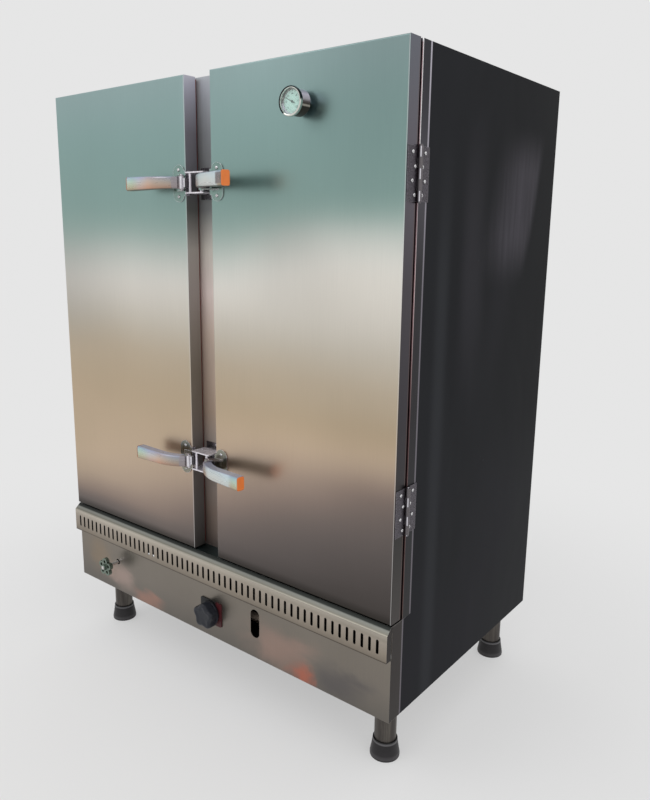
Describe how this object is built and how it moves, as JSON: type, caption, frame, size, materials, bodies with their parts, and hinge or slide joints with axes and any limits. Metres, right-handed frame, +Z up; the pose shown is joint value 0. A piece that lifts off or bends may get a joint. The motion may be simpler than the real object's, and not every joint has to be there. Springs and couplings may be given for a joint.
{
  "type": "rice steamer cabinet",
  "caption": "Upright two-door steaming cabinet in stainless steel with lever latches, dial thermometer, slotted vent strip, gas controls below and round legs on levelling feet.",
  "frame": {"origin": "on the floor, in the middle of the overall width and of the overall depth", "axes": "+X to the right along the front, +Y from the front to the back, +Z up"},
  "size_m": [1.12, 0.8748, 1.525],
  "materials": {
    "stainless": "satin brushed, vertical grain on the doors",
    "inner_stainless": "plain mill",
    "dark_casing": "dark, glossy, slightly wavy sheet",
    "bright_steel": "bright plated",
    "gasket_rubber": "matte red-brown",
    "insulation": "fibrous",
    "orange_plastic": "smooth",
    "black_plastic": "moulded",
    "foot_black": "moulded, worn at the rim",
    "brass": "turned",
    "wheel_metal": "cast",
    "cast_iron": "rough cast",
    "gas_pipe_steel": "grey",
    "frame_steel": "grey primer",
    "dial_white": "matte enamel",
    "pointer_dark": "matte",
    "glass": "clear"
  },
  "bodies": {
    "cabinet": {"right_side_panel": "dark_casing", "left_side_panel": "dark_casing", "top_panel": "stainless", "back_panel": "stainless", "door_frame": "stainless", "chamber_liners": "inner_stainless", "wall_insulation": "insulation", "tray_racks": "inner_stainless", "water_tank": "inner_stainless", "steam_plates": "inner_stainless", "float_valve": "brass", "drain_valve": "brass", "burners": "cast_iron", "burner_shield": "inner_stainless", "gas_manifold": "gas_pipe_steel", "gas_cock": "brass", "gas_supply_pipe": "gas_pipe_steel", "knob_escutcheon": "black_plastic", "vent_strip": "stainless", "lower_front_panel": "stainless", "base_frame": "frame_steel", "flue_collar": "inner_stainless", "latch_keepers": "bright_steel", "frame_hinge_leaves": "bright_steel", "frame_screws": "bright_steel"},
    "left_door": {"left_door_skin": "stainless", "left_door_liner": "inner_stainless", "left_door_insulation": "insulation", "left_door_gasket": "gasket_rubber", "left_door_hinge_leaves": "bright_steel", "left_door_latch_bases": "bright_steel", "left_door_screws": "bright_steel"},
    "right_door": {"right_door_skin": "stainless", "right_door_liner": "inner_stainless", "right_door_insulation": "insulation", "right_door_gasket": "gasket_rubber", "right_door_hinge_leaves": "bright_steel", "right_door_latch_bases": "bright_steel", "right_door_screws": "bright_steel", "thermometer_case": "bright_steel", "thermometer_bezel": "bright_steel", "thermometer_glass": "glass", "thermometer_dial": "dial_white"},
    "pointer": {"thermometer_pointer": "pointer_dark"},
    "gas_knob": {"gas_knob": "black_plastic"},
    "drain_stem": {"drain_stem": "bright_steel"},
    "drain_handwheel": {"drain_handwheel": "wheel_metal"},
    "float_arm": {"float_arm": "brass"},
    "lower_left_lever": {"lower_left_lever": "stainless", "lower_left_lever_plug": "orange_plastic"},
    "lower_right_lever": {"lower_right_lever": "stainless", "lower_right_lever_plug": "orange_plastic"},
    "upper_left_lever": {"upper_left_lever": "stainless", "upper_left_lever_plug": "orange_plastic"},
    "upper_right_lever": {"upper_right_lever": "stainless", "upper_right_lever_plug": "orange_plastic"},
    "left_front_foot": {"left_front_foot": "foot_black"},
    "left_back_foot": {"left_back_foot": "foot_black"},
    "right_front_foot": {"right_front_foot": "foot_black"},
    "right_back_foot": {"right_back_foot": "foot_black"}
  },
  "joints": [
    {"name": "left_door_swing", "type": "hinge", "parent": "cabinet", "child": "left_door", "pos_m": [-0.555, -0.2995, 0.957], "axis": [0, 0, -1], "range_deg": [0, 180]},
    {"name": "right_door_swing", "type": "hinge", "parent": "cabinet", "child": "right_door", "pos_m": [0.555, -0.2995, 0.957], "axis": [0, 0, 1], "range_deg": [0, 180]},
    {"name": "lower_left_lever_turn", "type": "hinge", "parent": "left_door", "child": "lower_left_lever", "pos_m": [-0.036, -0.362, 0.629], "axis": [0, 0, 1], "range_deg": [0, 70]},
    {"name": "lower_right_lever_turn", "type": "hinge", "parent": "right_door", "child": "lower_right_lever", "pos_m": [0.036, -0.362, 0.629], "axis": [0, 0, -1], "range_deg": [-5, 65]},
    {"name": "upper_left_lever_turn", "type": "hinge", "parent": "left_door", "child": "upper_left_lever", "pos_m": [-0.036, -0.362, 1.289], "axis": [0, 0, 1], "range_deg": [0, 70]},
    {"name": "upper_right_lever_turn", "type": "hinge", "parent": "right_door", "child": "upper_right_lever", "pos_m": [0.036, -0.362, 1.289], "axis": [0, 0, -1], "range_deg": [-15, 55]},
    {"name": "gas_knob_turn", "type": "hinge", "parent": "cabinet", "child": "gas_knob", "pos_m": [0.011, -0.34, 0.229], "axis": [0, -1, 0], "range_deg": [0, 90]},
    {"name": "drain_stem_slide", "type": "slide", "parent": "cabinet", "child": "drain_stem", "axis": [0, -1, 0], "range_m": [0, 0.006]},
    {"name": "drain_handwheel_turn", "type": "hinge", "parent": "drain_stem", "child": "drain_handwheel", "pos_m": [-0.376, -0.376, 0.248], "axis": [0, -1, 0], "range_deg": [0, 1080]},
    {"name": "pointer_turn", "type": "hinge", "parent": "right_door", "child": "pointer", "pos_m": [0.311, -0.378, 1.429], "axis": [0, 1, 0], "range_deg": [-72, 198]},
    {"name": "float_arm_swing", "type": "hinge", "parent": "cabinet", "child": "float_arm", "pos_m": [-0.45, 0.252, 0.392], "axis": [1, 0, 0], "range_deg": [-28, 0]},
    {"name": "left_front_foot_slide", "type": "slide", "parent": "cabinet", "child": "left_front_foot", "axis": [0, 0, -1], "range_m": [0, 0.025]},
    {"name": "left_back_foot_slide", "type": "slide", "parent": "cabinet", "child": "left_back_foot", "axis": [0, 0, -1], "range_m": [0, 0.025]},
    {"name": "right_front_foot_slide", "type": "slide", "parent": "cabinet", "child": "right_front_foot", "axis": [0, 0, -1], "range_m": [0, 0.025]},
    {"name": "right_back_foot_slide", "type": "slide", "parent": "cabinet", "child": "right_back_foot", "axis": [0, 0, -1], "range_m": [0, 0.025]}
  ],
  "couplings": [
    {"joint": "drain_handwheel_turn", "follows": "drain_stem_slide", "rad_per_m": 3141.5}
  ]
}
